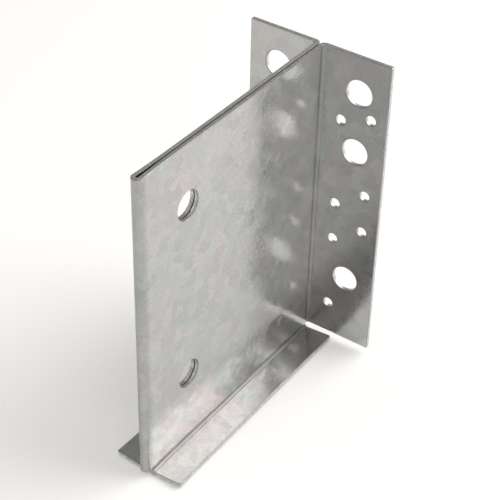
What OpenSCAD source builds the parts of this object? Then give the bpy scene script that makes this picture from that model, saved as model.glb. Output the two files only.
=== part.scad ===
// Concealed joist hanger, folded from one sheet of galvanised steel.
// The sheet runs from one header flange along a web leaf, doubles back on itself
// in a closed fold at the front, and returns along the second leaf to the other
// header flange. The foot of each leaf is turned outwards as a seat.
// +Z is up, the header faces +Y and the fold faces -Y. Z = 0 is the underside.

/* [Sheet] */
// Thickness of the sheet
sheet_t = 2; // [1.5:0.1:2.5]
// Inner radius of the header bends and the seat bends
bend_r = 1; // [0.6:0.1:3]

/* [Header] */
// Width across both header flanges
header_w = 72; // [70:0.5:110]
// Height of the header flanges
header_h = 155.2; // [150:1:240]
// Radius of the sheared outer corners
header_corner_r = 0.5; // [0.3:0.1:4]
// Height of the header's lower edge above the top of the seat bend
foot_relief = 0.7; // [0.2:0.1:4]

/* [Web] */
// Length from the back of the header to the front of the fold
web_len = 129.4; // [120:0.2:200]
// Space between the two web leaves where they lie together
leaf_gap = 0.16; // [0.06:0.02:0.3]
// Space between the leaves where they enter the fold
fold_gap = 1; // [0.6:0.1:2]
// Length behind the fold over which the leaves close together
fold_taper = 21; // [10:1:40]

/* [Seat] */
// Width of each seat flange, measured flat from its bend
seat_flange_w = 13.8; // [9:0.1:40]
// Distance from the back of the header to the rear edge of the seat
seat_rear = 3.8; // [3.4:0.2:12]
// Distance from the front of the fold to the front edge of the seat
seat_front = 4; // [3.2:0.2:12]
// Angle by which each seat flange is bent past square
seat_tilt = 5; // [0:0.5:8]
// Radius of the seat's front corners
seat_front_r = 0.4; // [0.3:0.1:4]
// Radius of the seat's rear corners
seat_rear_r = 1.6; // [0.3:0.1:4]

/* [Header bolt holes] */
// Diameter of the bolt holes
bolt_d = 13; // [8:0.5:14]
// Distance between the two columns of bolt holes
bolt_span = 42; // [38:0.5:46]
// Depth of the top row of bolt holes below the top edge
bolt_top = 17.8; // [14:0.1:20]
// Depth of the second row of bolt holes below the top edge
bolt_second = 47.9; // [46:0.1:56]
// Height of the lowest row of bolt holes above the lower edge
bolt_low = 35.7; // [32:0.1:36]

/* [Header nail holes] */
// Diameter of the nail holes
nail_d = 5; // [3:0.1:6]
// Distance between the two inner columns of nail holes
nail_span = 25.6; // [24:0.2:28]
// Distance from an inner column to the outer column beside it
nail_column = 15; // [14:0.1:15.6]
// Depth of the short column's first nail hole below the top edge
nail_top = 29; // [28:0.1:32]
// Drop of the middle nail holes' centre below the midpoint of the bolt rows round them
nail_mid = 0.3; // [-3:0.1:3]
// Distance between the two holes of the lower pair in either column
nail_pitch = 20; // [18:0.1:21]
// Drop from the short column's first hole to the long column's first hole
nail_drop = 5; // [4:0.1:6]
// Drop from the short column's lower pair to the long column's lower pair
nail_pair_drop = 10; // [8:0.1:11]
// Height of the long column's last nail hole above the lower edge
nail_low = 17.4; // [10:0.1:20]

/* [Web holes] */
// Diameter of the holes for the joist's dowels
dowel_d = 13.5; // [8:0.5:18]
// Distance from the back of the header to the web holes
dowel_back = 98.3; // [60:0.1:105]
// Depth of the upper web hole below the top edge
dowel_top = 29; // [15:0.5:50]
// Height of the lower web hole above the underside
dowel_low = 40; // [20:0.5:60]

/* [Hidden] */

// Fineness of the small arcs and holes, and of the long shallow arc of a leaf
arc_fn = 96;
bow_fn = 1440;
// How far a cutter runs past the sheet that it cuts
cut_over = 1;

// Levels and places worked out from the sizes above
back_y = web_len / 2;
outer_r = bend_r + sheet_t;
edge_z = outer_r + foot_relief;
top_z = edge_z + header_h;
leaf_x = leaf_gap / 2;
bend_x = leaf_x + outer_r;
bend_y = back_y - outer_r;

// Closed fold: half a turn of the sheet, then each leaf bows in on a long arc
// that is tangent to the fold and to the straight leaf behind it
fold_r = fold_gap / 2;
fold_y = -back_y + fold_r + sheet_t;
bow_y = fold_y + fold_taper;
bow_r = (fold_taper * fold_taper + leaf_x * leaf_x - fold_r * fold_r) / (fold_gap - leaf_gap);
bow_x = leaf_x + bow_r;
bow_a = atan2(fold_taper, bow_x);

seat_rear_y = back_y - seat_rear;
seat_front_y = -back_y + seat_front;
seat_len = seat_rear_y - seat_front_y;

// Heights of the hole rows. Each nail column has a pair between the second and the
// lowest bolt rows, and the two pairs lie about the same centre.
bolt_rows = [top_z - bolt_top, top_z - bolt_second, edge_z + bolt_low];
pairs_z = (bolt_rows[1] + bolt_rows[2]) / 2 - nail_mid;
short_pair_z = pairs_z + (nail_pitch + nail_pair_drop) / 2;
long_pair_z = short_pair_z - nail_pair_drop;
nail_short_rows = [top_z - nail_top, short_pair_z, short_pair_z - nail_pitch];
nail_long_rows = [
    top_z - nail_top - nail_drop,
    long_pair_z,
    long_pair_z - nail_pitch,
    edge_z + nail_low
];
dowel_rows = [top_z - dowel_top, dowel_low];

// Part of a flat ring between two radii, from angle a0 round to angle a1
module ring_sector(r_in, r_out, a0, a1, fn) {
    reach = 2 * r_out;
    am = (a0 + a1) / 2;
    intersection() {
        difference() {
            circle(r = r_out, $fn = fn);
            circle(r = r_in, $fn = fn);
        }
        polygon([
            [0, 0],
            [reach * cos(a0), reach * sin(a0)],
            [reach * cos(am), reach * sin(am)],
            [reach * cos(a1), reach * sin(a1)]
        ]);
    }
}

// Plan of the right-hand half: flange, bend, straight leaf, bowed leaf, half fold
module half_plan() {
    translate([bend_x, back_y - sheet_t]) square([header_w / 2 - bend_x, sheet_t]);
    translate([bend_x, bend_y]) ring_sector(bend_r, outer_r, 90, 180, arc_fn);
    translate([leaf_x, bow_y]) square([sheet_t, bend_y - bow_y]);
    translate([bow_x, bow_y]) ring_sector(bow_r - sheet_t, bow_r, 180, 180 + bow_a, bow_fn);
    translate([0, fold_y]) ring_sector(fold_r, fold_r + sheet_t, -90, bow_a, arc_fn);
}

// Section of the right-hand seat, with the inner face of its leaf at x = 0
module seat_section() {
    translate([0, outer_r]) square([sheet_t, foot_relief]);
    translate([outer_r, outer_r]) {
        ring_sector(bend_r, outer_r, 180, 270 + seat_tilt, arc_fn);
        rotate(seat_tilt) translate([0, -outer_r]) square([seat_flange_w, sheet_t]);
    }
}

// Seat flange and its bend, straight at the back and following the bow in front
module half_seat() {
    intersection() {
        union() {
            translate([leaf_x, seat_rear_y + cut_over, 0]) rotate([90, 0, 0])
                linear_extrude(seat_rear_y + cut_over - bow_y) seat_section();
            translate([bow_x, bow_y, 0]) rotate([0, 0, 180])
                rotate_extrude(angle = bow_a, $fn = bow_fn)
                    translate([bow_r, 0]) mirror([1, 0]) seat_section();
        }
        seat_blank();
    }
}

// Block that trims the seat to its length and rounds its outer corners
module seat_blank() {
    outer_x = bend_x + outer_r * sin(seat_tilt) + seat_flange_w * cos(seat_tilt);
    rise = edge_z + seat_flange_w;
    translate([0, 0, -cut_over]) linear_extrude(rise + cut_over)
        difference() {
            translate([0, seat_front_y]) square([outer_x + cut_over, seat_len]);
            translate([outer_x, seat_front_y]) corner_waste(seat_front_r, 1);
            translate([outer_x, seat_rear_y]) corner_waste(seat_rear_r, -1);
        }
}

// What a tool of radius r takes off a corner at the origin. The sheet lies on its
// -X side, and on its +Y side for rise = 1 or its -Y side for rise = -1.
module corner_waste(r, rise) {
    mirror([0, rise < 0 ? 1 : 0])
        difference() {
            translate([-r, -cut_over]) square([r + 2 * cut_over, r + cut_over]);
            translate([-r, r]) circle(r = r, $fn = arc_fn);
        }
}

// What the shear takes off the outer corners of a header flange
module header_corners() {
    translate([header_w / 2, back_y + cut_over, 0]) rotate([90, 0, 0])
        linear_extrude(sheet_t + 2 * cut_over) {
            translate([0, edge_z]) corner_waste(header_corner_r, 1);
            translate([0, top_z]) corner_waste(header_corner_r, -1);
        }
}

// One hole through a header flange
module header_hole(x, z, d) {
    translate([x, back_y + cut_over, z]) rotate([90, 0, 0])
        cylinder(d = d, h = sheet_t + 2 * cut_over, $fn = arc_fn);
}

// Bolt and nail holes of one header flange. Each flange has a short and a long
// column of nail holes, and the long one is the left of the two on both flanges.
module header_holes(long_inside) {
    inner_x = nail_span / 2;
    outer_x = inner_x + nail_column;
    for (z = bolt_rows) header_hole(bolt_span / 2, z, bolt_d);
    for (z = nail_long_rows) header_hole(long_inside ? inner_x : outer_x, z, nail_d);
    for (z = nail_short_rows) header_hole(long_inside ? outer_x : inner_x, z, nail_d);
}

// Dowel holes through both leaves
module dowel_holes() {
    reach = fold_gap + 2 * sheet_t + 2 * cut_over;
    for (z = dowel_rows)
        translate([0, back_y - dowel_back, z]) rotate([0, 90, 0])
            cylinder(d = dowel_d, h = reach, center = true, $fn = arc_fn);
}

// Header flanges, bends, web leaves and fold, as one strip standing on edge
module folded_strip() {
    translate([0, 0, edge_z]) linear_extrude(header_h) {
        half_plan();
        mirror([1, 0]) half_plan();
    }
}

module hanger() {
    color("silver")
        difference() {
            union() {
                folded_strip();
                for (side = [0, 1]) mirror([side, 0, 0]) half_seat();
            }
            for (side = [0, 1]) mirror([side, 0, 0]) {
                header_holes(long_inside = side == 0);
                header_corners();
            }
            dowel_holes();
        }
}

hanger();
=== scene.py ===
import bmesh, bpy, math
from mathutils import Matrix, Vector
from mathutils.bvhtree import BVHTree


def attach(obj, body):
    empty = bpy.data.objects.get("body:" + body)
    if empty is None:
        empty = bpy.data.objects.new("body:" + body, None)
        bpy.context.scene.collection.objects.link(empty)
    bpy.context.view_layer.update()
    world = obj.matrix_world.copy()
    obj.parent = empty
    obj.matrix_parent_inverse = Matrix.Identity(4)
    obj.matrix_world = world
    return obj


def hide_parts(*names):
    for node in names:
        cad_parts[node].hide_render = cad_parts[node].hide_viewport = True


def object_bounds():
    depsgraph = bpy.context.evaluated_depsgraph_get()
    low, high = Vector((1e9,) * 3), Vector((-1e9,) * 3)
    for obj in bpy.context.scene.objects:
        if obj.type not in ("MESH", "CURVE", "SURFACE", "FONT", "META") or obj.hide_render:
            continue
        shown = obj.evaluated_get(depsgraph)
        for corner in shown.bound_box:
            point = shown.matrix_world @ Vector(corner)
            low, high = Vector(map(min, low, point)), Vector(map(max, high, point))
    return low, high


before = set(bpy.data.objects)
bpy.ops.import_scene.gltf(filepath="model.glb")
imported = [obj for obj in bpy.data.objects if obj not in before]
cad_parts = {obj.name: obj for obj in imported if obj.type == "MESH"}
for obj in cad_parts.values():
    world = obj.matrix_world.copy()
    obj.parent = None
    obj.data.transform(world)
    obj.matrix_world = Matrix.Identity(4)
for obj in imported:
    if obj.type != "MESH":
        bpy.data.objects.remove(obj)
cad_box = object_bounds()

LOW, HIGH = Vector(cad_box[0]), Vector(cad_box[1])
MIDDLE = (LOW + HIGH) / 2
MM = 0.001

# Camera, as the picture was taken: angles in degrees, lengths in metres
CAMERA_AZIMUTH = 34.2
CAMERA_ELEVATION = 37.73
CAMERA_ROLL = 1.59
CAMERA_DISTANCE = 0.62896
CAMERA_LENS = 104.66
SENSOR_WIDTH = 36.0
AIM_RIGHT = 0.00790
AIM_UP = 0.00500

# Sheet, and the wear along its edges
SHEET_T = 2 * MM
DIE_ROLL = 0.32 * MM
BURR = 0.06 * MM
GAP_ROLL = 0.20 * MM
GAP_HALF = 0.60 * MM
SHARP_EDGE = math.radians(35)

# Telling the kinds of face apart: a ray from just inside a rolled face leaves the
# sheet again within its thickness, and a face inside a bend leans by more than SLOPE
STEP_INSIDE = 0.01 * MM
PAST_SHEET = 1.15 * SHEET_T
SLOPE = 0.15
BACK_ZONE = 2 * SHEET_T
SLIVER = 0.02 * MM * MM

# Cleaning the copied mesh
WELD = 0.0005 * MM
COPLANAR = math.radians(0.05)

# Inside of the bends: its radius in the solid, and the share by which it is widened.
# Rays at the height LEAF_LEVEL find the leaf's face; the ones for the header's bends
# run LEAF_CLEAR in front of the header.
BEND_R = 1 * MM
BEND_GROWTH = 0.58
SEAT_TILT = math.radians(5)
LEAF_LEVEL = 10 * MM
LEAF_CLEAR = 2 * BEND_R


def look(azimuth, elevation):
    """Unit vector along which a camera at that place round the object looks."""
    a, e = math.radians(azimuth), math.radians(elevation)
    return Vector((-math.sin(a) * math.cos(e), math.cos(a) * math.cos(e), -math.sin(e)))


def make_camera():
    data = bpy.data.cameras.new("camera")
    data.lens = CAMERA_LENS
    data.sensor_width = SENSOR_WIDTH
    camera = bpy.data.objects.new("camera", data)
    bpy.context.scene.collection.objects.link(camera)
    forward = look(CAMERA_AZIMUTH, CAMERA_ELEVATION)
    right = forward.cross(Vector((0, 0, 1))).normalized()
    up = right.cross(forward)
    roll = Matrix.Rotation(math.radians(CAMERA_ROLL), 3, -forward)
    right, up = roll @ right, roll @ up
    place = MIDDLE + AIM_RIGHT * right + AIM_UP * up - CAMERA_DISTANCE * forward
    turn = Matrix((right, up, -forward)).transposed()
    camera.matrix_world = Matrix.Translation(place) @ turn.to_4x4()
    bpy.context.scene.camera = camera


# ---- studio ----
FLOOR_SIZE = 8.0
FLOOR_GREY = 0.88
FLOOR_ROUGHNESS = 0.9
FLOOR_GLOW = 0.20
WORLD_GLOW = 0.33
WARM_WHITE = (1.0, 0.980, 0.950)

# Area lights: name, direction from the object, distance and size in metres, watts
LIGHTS = (
    ("key", (0.52, 0.58, 0.62), 1.4, (1.5, 1.5), 19.5),
    ("key_core", (0.34, 0.65, 0.68), 1.4, (0.7, 0.7), 0.6),
    ("overhead", (-0.2, -0.3, 1.0), 1.6, (1.4, 1.4), 2),
    ("left_fill", (-0.8, -0.45, 0.45), 1.5, (1.2, 0.8), 3),
    ("front_fill", (0.5, -0.65, 0.57), 1.5, (1.4, 1.4), 4.5),
)


def make_floor():
    bpy.ops.mesh.primitive_plane_add(size=FLOOR_SIZE, location=(0, 0, LOW.z))
    floor = bpy.context.object
    floor.name = "floor"
    material = bpy.data.materials.new("floor")
    material.use_nodes = True
    shader = material.node_tree.nodes["Principled BSDF"]
    shader.inputs["Base Color"].default_value = (FLOOR_GREY, FLOOR_GREY, FLOOR_GREY, 1)
    shader.inputs["Roughness"].default_value = FLOOR_ROUGHNESS
    shader.inputs["Emission Color"].default_value = (*WARM_WHITE, 1)
    shader.inputs["Emission Strength"].default_value = FLOOR_GLOW
    floor.data.materials.append(material)


def make_light(name, direction, distance, size, power):
    data = bpy.data.lights.new(name, "AREA")
    data.shape = "RECTANGLE"
    data.size, data.size_y = size
    data.energy = power
    data.color = WARM_WHITE
    light = bpy.data.objects.new(name, data)
    bpy.context.scene.collection.objects.link(light)
    d = Vector(direction).normalized()
    light.location = MIDDLE + d * distance
    light.rotation_euler = (-d).to_track_quat("-Z", "Y").to_euler()


def make_world(strength):
    world = bpy.data.worlds.new("world")
    bpy.context.scene.world = world
    world.use_nodes = True
    background = world.node_tree.nodes["Background"]
    background.inputs["Color"].default_value = (*WARM_WHITE, 1)
    background.inputs["Strength"].default_value = strength


# ---- node helpers ----
class Graph:
    """Shorthand for adding nodes to one material."""

    def __init__(self, name):
        self.material = bpy.data.materials.new(name)
        self.material.use_nodes = True
        self.tree = self.material.node_tree
        self.shader = self.tree.nodes["Principled BSDF"]

    def add(self, kind, settings=None, inputs=None):
        """Add a node. An input given as a socket is linked, any other is set."""
        n = self.tree.nodes.new(kind)
        for key, value in (settings or {}).items():
            setattr(n, key, value)
        for key, value in (inputs or {}).items():
            if isinstance(value, bpy.types.NodeSocket):
                self.tree.links.new(value, n.inputs[key])
            else:
                n.inputs[key].default_value = value
        return n

    def set(self, name, value):
        self.shader.inputs[name].default_value = value

    def feed(self, name, socket):
        self.tree.links.new(socket, self.shader.inputs[name])

    def noise(self, vector, scale, detail=2.0, rough=0.5):
        n = self.add("ShaderNodeTexNoise", None,
                     {"Vector": vector, "Scale": scale, "Detail": detail, "Roughness": rough})
        return n.outputs

    def remap(self, value, a0, a1, b0, b1):
        n = self.add("ShaderNodeMapRange", None,
                     {"Value": value, "From Min": a0, "From Max": a1, "To Min": b0, "To Max": b1})
        return n.outputs["Result"]

    def math(self, operation, a, b):
        n = self.add("ShaderNodeMath", {"operation": operation}, {0: a, 1: b})
        return n.outputs[0]

    def vector(self, operation, a, b=None, scale=None):
        inputs = {0: a}
        if b is not None:
            inputs[1] = b
        if scale is not None:
            inputs["Scale"] = scale
        return self.add("ShaderNodeVectorMath", {"operation": operation}, inputs).outputs[0]

    def ramp(self, value, stops):
        n = self.add("ShaderNodeValToRGB", None, {"Fac": value})
        e = n.color_ramp.elements
        while len(e) < len(stops):
            e.new(0.5)
        for i, (place, colour) in enumerate(stops):
            e[i].position = place
            e[i].color = (*colour, 1)
        return n.outputs["Color"]

    def mix(self, factor, a, b, blend="MIX"):
        """Mix two colours: inputs 6 and 7 and output 2 are the node's colour sockets."""
        n = self.add("ShaderNodeMix", {"data_type": "RGBA", "blend_type": blend},
                     {0: factor, 6: a, 7: b})
        return n.outputs[2]

    def bump(self, height, distance, strength=1.0, normal=None):
        inputs = {"Height": height, "Distance": distance, "Strength": strength}
        if normal is not None:
            inputs["Normal"] = normal
        return self.add("ShaderNodeBump", None, inputs).outputs["Normal"]


# ---- galvanised steel ----
# Colour and middle roughness of the zinc on faces, in creases and on worn edges; the darker
# colour in the creases is painted shade
ZINC = (0.476, 0.480, 0.484)
ZINC_ROUGHNESS = 0.18
CREASE_SHADED_ZINC = (0.30, 0.30, 0.30)
CREASE_ROUGHNESS = 0.42
WORN_ZINC = (0.34, 0.34, 0.34)
WORN_ROUGHNESS = 0.40

# Round the fold: depth behind its front, length of the fade, and what it does there: painted
# shade that darkens the zinc, and real dulling of it
FOLD_DEPTH = 2.5 * MM
FOLD_FADE = 3.0 * MM
FOLD_PAINTED_SHADE = 0.80
FOLD_DULLING = 0.08

# Spangles: size of a crystal, raggedness of its outline, and what varies among crystals
SPANGLE_SIZE = 5.5 * MM
RAGGED_SCALE = 320
RAGGED_SHIFT = 5 * MM
CRYSTAL_SHADES = (0.93, 1.07)
CRYSTAL_LEAN = 0.022
CRYSTAL_ROUGHNESS = 0.04

# Noises over the zinc: scales are per metre, heights are lengths
NOISE_SPAN = (0.3, 0.7)
PATCH_SCALE = 70
PATCH_TINTS = ((0.28, (0.93, 1.0, 1.02)), (0.42, (0.985, 1.0, 0.985)),
               (0.52, (1.0, 1.0, 0.99)), (0.60, (1.055, 1.0, 1.005)),
               (0.70, (0.99, 1.0, 0.95)))
BROAD_SCALE = 24
BROAD_TINTS = ((0.38, (0.985, 1.0, 0.99)), (0.62, (1.02, 1.0, 1.0)))
GRAIN_SCALE = 1100
GRAIN_SHADES = (0.915, 1.085)
SMEAR_SCALE = 90
SMEAR_ROUGHNESS = (-0.03, 0.04)
WAVE_SCALE = 45
WAVE_HEIGHT = 0.12 * MM
VEIN_SCALE = 420
VEIN_WIDTH = 0.03
VEIN_HEIGHT = 0.013 * MM
VEIN_STRENGTH = 0.9
FROST_SCALE = 2200
FROST_HEIGHT = 0.004 * MM
FROST_STRENGTH = 0.8

# Sheared and punched edges
CUT_METALLIC = 0.95
CUT_SCALE = 700
CUT_TONES = ((0.30, (0.44, 0.44, 0.44)), (0.55, (0.58, 0.58, 0.58)), (0.70, (0.86, 0.86, 0.85)))
CUT_ROUGHNESS = (0.45, 0.35)
CUT_HEIGHT = 0.01 * MM
CUT_STRENGTH = 0.5

# Lips of the closed gap: painted shade, a near-black material standing in for the shade inside
# the gap
GAP_PAINTED_SHADE = (0.06, 0.06, 0.06)
GAP_METALLIC = 0.5
GAP_ROUGHNESS = 0.6

WHOLE_RANGE = (0, 1)
MIDDLE_GREY = (0.5, 0.5, 0.5)


def spangle_cells(g, where):
    """Voronoi crystals with ragged outlines."""
    ragged = g.noise(where, RAGGED_SCALE, 3.0)["Color"]
    shift = g.vector("SCALE", g.vector("SUBTRACT", ragged, MIDDLE_GREY), scale=RAGGED_SHIFT)
    n = g.add("ShaderNodeTexVoronoi", None,
              {"Vector": g.vector("ADD", where, shift), "Scale": 1 / SPANGLE_SIZE})
    return n.outputs["Color"]


def fold_shade_and_dulling(g, where):
    """1 round the outside of the fold, where painted shade darkens the zinc and the zinc is
    duller, 0 behind it.
    """
    along = g.add("ShaderNodeSeparateXYZ", None, {0: where}).outputs["Y"]
    fold_end = LOW.y + FOLD_DEPTH
    return g.remap(along, fold_end, fold_end + FOLD_FADE, 1.0, 0.0)


def zinc_tint(g, where):
    """Faint patches of pink, green and yellow."""
    patches = g.ramp(g.noise(where, PATCH_SCALE, 3.0, 0.6)["Fac"], PATCH_TINTS)
    broad = g.ramp(g.noise(where, BROAD_SCALE, 1.0)["Fac"], BROAD_TINTS)
    return g.mix(1.0, patches, broad, "MULTIPLY")


def zinc_colour(g, where, zinc, cell, shade_and_dulling):
    shade = g.remap(cell, *WHOLE_RANGE, *CRYSTAL_SHADES)
    grain = g.noise(where, GRAIN_SCALE, 3.0, 0.6)["Fac"]
    level = g.math("MULTIPLY", shade, g.remap(grain, *NOISE_SPAN, *GRAIN_SHADES))
    # painted shade: the zinc is darkened round the outside of the fold
    level = g.math("MULTIPLY", level, g.remap(shade_and_dulling, *WHOLE_RANGE, 1.0, FOLD_PAINTED_SHADE))
    flat = g.mix(1.0, (*zinc, 1), zinc_tint(g, where), "MULTIPLY")
    grey = g.add("ShaderNodeCombineXYZ", None, {0: level, 1: level, 2: level}).outputs[0]
    return g.vector("MULTIPLY", flat, grey)


def zinc_roughness(g, where, cell, shade_and_dulling, middle):
    rough = g.remap(cell, *WHOLE_RANGE, middle - CRYSTAL_ROUGHNESS, middle + CRYSTAL_ROUGHNESS)
    smear = g.remap(g.noise(where, SMEAR_SCALE, 2.0)["Fac"], *NOISE_SPAN, *SMEAR_ROUGHNESS)
    dulling = g.remap(shade_and_dulling, *WHOLE_RANGE, 0.0, FOLD_DULLING)
    return g.math("ADD", rough, g.math("ADD", smear, dulling))


def zinc_normal(g, where, cell_colour):
    """Each crystal leans its own way; a slow wave, fine veins and frost lie over it."""
    normal = g.add("ShaderNodeNewGeometry").outputs["Normal"]
    lean = g.vector("SCALE", g.vector("SUBTRACT", cell_colour, MIDDLE_GREY), scale=CRYSTAL_LEAN)
    leaning = g.vector("NORMALIZE", g.vector("ADD", normal, lean))
    wave = g.bump(g.noise(where, WAVE_SCALE, 1.0)["Fac"], WAVE_HEIGHT, 1.0, leaning)
    off_middle = g.math("SUBTRACT", g.noise(where, VEIN_SCALE, 2.0)["Fac"], 0.5)
    ridge = g.remap(g.math("ABSOLUTE", off_middle, 0.0), 0.0, VEIN_WIDTH, 1.0, 0.0)
    veins = g.bump(ridge, VEIN_HEIGHT, VEIN_STRENGTH, wave)
    frost = g.noise(where, FROST_SCALE, 2.0)["Fac"]
    return g.bump(frost, FROST_HEIGHT, FROST_STRENGTH, veins)


def galvanised(name, zinc, roughness):
    g = Graph(name)
    where = g.add("ShaderNodeTexCoord").outputs["Object"]
    cell = spangle_cells(g, where)
    parts = g.add("ShaderNodeSeparateColor", None, {"Color": cell}).outputs
    shade_and_dulling = fold_shade_and_dulling(g, where)
    g.set("Metallic", 1.0)
    g.feed("Base Color", zinc_colour(g, where, zinc, parts[0], shade_and_dulling))
    g.feed("Roughness", zinc_roughness(g, where, parts[2], shade_and_dulling, roughness))
    g.feed("Normal", zinc_normal(g, where, cell))
    return g.material


def cut_edge():
    g = Graph("cut_edge")
    where = g.add("ShaderNodeTexCoord").outputs["Object"]
    specks = g.noise(where, CUT_SCALE, 3.0, 0.65)["Fac"]
    g.set("Metallic", CUT_METALLIC)
    g.feed("Base Color", g.ramp(specks, CUT_TONES))
    g.feed("Roughness", g.remap(specks, *NOISE_SPAN, *CUT_ROUGHNESS))
    g.feed("Normal", g.bump(specks, CUT_HEIGHT, CUT_STRENGTH))
    return g.material


# painted shade: near-black material on the lips of the gap, where the gap is in shade
def gap_painted_shade():
    g = Graph("gap")
    g.set("Base Color", (*GAP_PAINTED_SHADE, 1))
    g.set("Metallic", GAP_METALLIC)
    g.set("Roughness", GAP_ROUGHNESS)
    return g.material


# ---- the folded sheet ----
# Kinds of face, in the order of the mesh's materials
ROLLED, CUT, CREASE, WORN, GAP = 0, 1, 2, 3, 4


def mark_faces(bm, tree):
    """Tell rolled faces from the sheared or punched ones, which have more than the
    sheet's thickness behind them, and from the creases inside the bends."""
    for face in bm.faces:
        n = face.normal
        start = face.calc_center_median() - n * STEP_INSIDE
        reach = tree.ray_cast(start, -n)[3]
        side = abs(n.x) > SLOPE
        front = n.y < -SLOPE
        top = n.z > SLOPE
        at_back = start.y > HIGH.y - BACK_ZONE
        thick = reach is None or reach > PAST_SHEET
        if thick and face.calc_area() > SLIVER:
            face.material_index = CUT
        elif side and (top or (front and at_back)):
            face.material_index = CREASE
        else:
            face.material_index = ROLLED


def on_show_side(face):
    """The sheet's outer side: seat top, header front, outside of the leaves and fold."""
    right = 1 if face.calc_center_median().x > 0 else -1
    return face.normal.dot(Vector((right, -1, 1))) > 0


def sheared(edge):
    return any(f.material_index == CUT for f in edge.link_faces)


def sheared_on_show_side(edge):
    kinds = [f.material_index == CUT for f in edge.link_faces]
    return kinds[0] != kinds[1] and on_show_side(edge.link_faces[kinds.index(False)])


def beside_gap(edge):
    return sheared(edge) and all(abs(v.co.x) < GAP_HALF for v in edge.verts)


def bend_corner(v, at_seat, tree):
    """Where the two sides of the bend that holds this vertex would meet."""
    side = 1 if v.co.x > 0 else -1
    along = v.co.y if at_seat else HIGH.y - SHEET_T - LEAF_CLEAR
    start = Vector((side * HIGH.x, along, LEAF_LEVEL))
    leaf = tree.ray_cast(start, Vector((-side, 0, 0)))[0]
    if at_seat:
        foot = SHEET_T + BEND_R - BEND_R / math.tan((math.pi / 2 - SEAT_TILT) / 2)
        return Vector((leaf.x, v.co.y, LOW.z + foot))
    return Vector((leaf.x, HIGH.y - SHEET_T, v.co.z))


def widen_bends(bm, tree):
    """Let the inside of each bend grow away from the corner that its two sides make."""
    moves = {}
    for face in bm.faces:
        if face.material_index != CREASE:
            continue
        at_seat = face.normal.z > SLOPE
        for v in face.verts:
            moves[v] = (v.co - bend_corner(v, at_seat, tree)) * BEND_GROWTH
    for v, move in moves.items():
        v.co += move


def round_edges(bm, wanted, width, steps, material):
    sharp = [e for e in bm.edges if e.is_manifold and e.calc_face_angle() > SHARP_EDGE
             and wanted(e)]
    bmesh.ops.bevel(bm, geom=sharp, offset=width, segments=steps, profile=0.5,
                    affect="EDGES", clamp_overlap=False, material=material)


def worn_mesh(node):
    """Copy of the solid's mesh with its kinds of face marked and its edges worn."""
    bm = bmesh.new()
    bm.from_mesh(node.data)
    bmesh.ops.remove_doubles(bm, verts=bm.verts, dist=WELD)
    bm.normal_update()
    tree = BVHTree.FromBMesh(bm)
    mark_faces(bm, tree)
    bmesh.ops.dissolve_limit(bm, angle_limit=COPLANAR, verts=bm.verts, edges=bm.edges,
                             delimit={"MATERIAL"})
    widen_bends(bm, tree)
    bm.normal_update()
    round_edges(bm, sheared_on_show_side, DIE_ROLL, 3, WORN)
    # the lips beside the gap get the painted shade material
    round_edges(bm, beside_gap, GAP_ROLL, 1, GAP)
    round_edges(bm, lambda e: sheared(e) and not beside_gap(e), BURR, 1, WORN)
    bmesh.ops.triangulate(bm, faces=[f for f in bm.faces if len(f.verts) > 4])
    mesh = bpy.data.meshes.new("folded_sheet")
    bm.to_mesh(mesh)
    bm.free()
    return mesh


def dress_sheet(node):
    """Show the worn copy, with a zinc face and bare cut edges, in place of the solid."""
    mesh = worn_mesh(node)
    mesh.shade_smooth()
    mesh.materials.append(galvanised("galvanised_steel", ZINC, ZINC_ROUGHNESS))
    mesh.materials.append(cut_edge())
    # painted shade: the crease material is darker zinc inside the bends
    mesh.materials.append(galvanised("crease", CREASE_SHADED_ZINC, CREASE_ROUGHNESS))
    mesh.materials.append(galvanised("worn_edge", WORN_ZINC, WORN_ROUGHNESS))
    mesh.materials.append(gap_painted_shade())
    piece = bpy.data.objects.new("folded_sheet", mesh)
    bpy.context.scene.collection.objects.link(piece)
    normals = piece.modifiers.new("face_weighted", "WEIGHTED_NORMAL")
    normals.keep_sharp = True
    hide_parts("hanger")
    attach(piece, "root")


make_camera()
make_floor()
make_world(WORLD_GLOW)
for light in LIGHTS:
    make_light(*light)
dress_sheet(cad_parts["hanger"])
bpy.context.scene.view_settings.view_transform = "Standard"
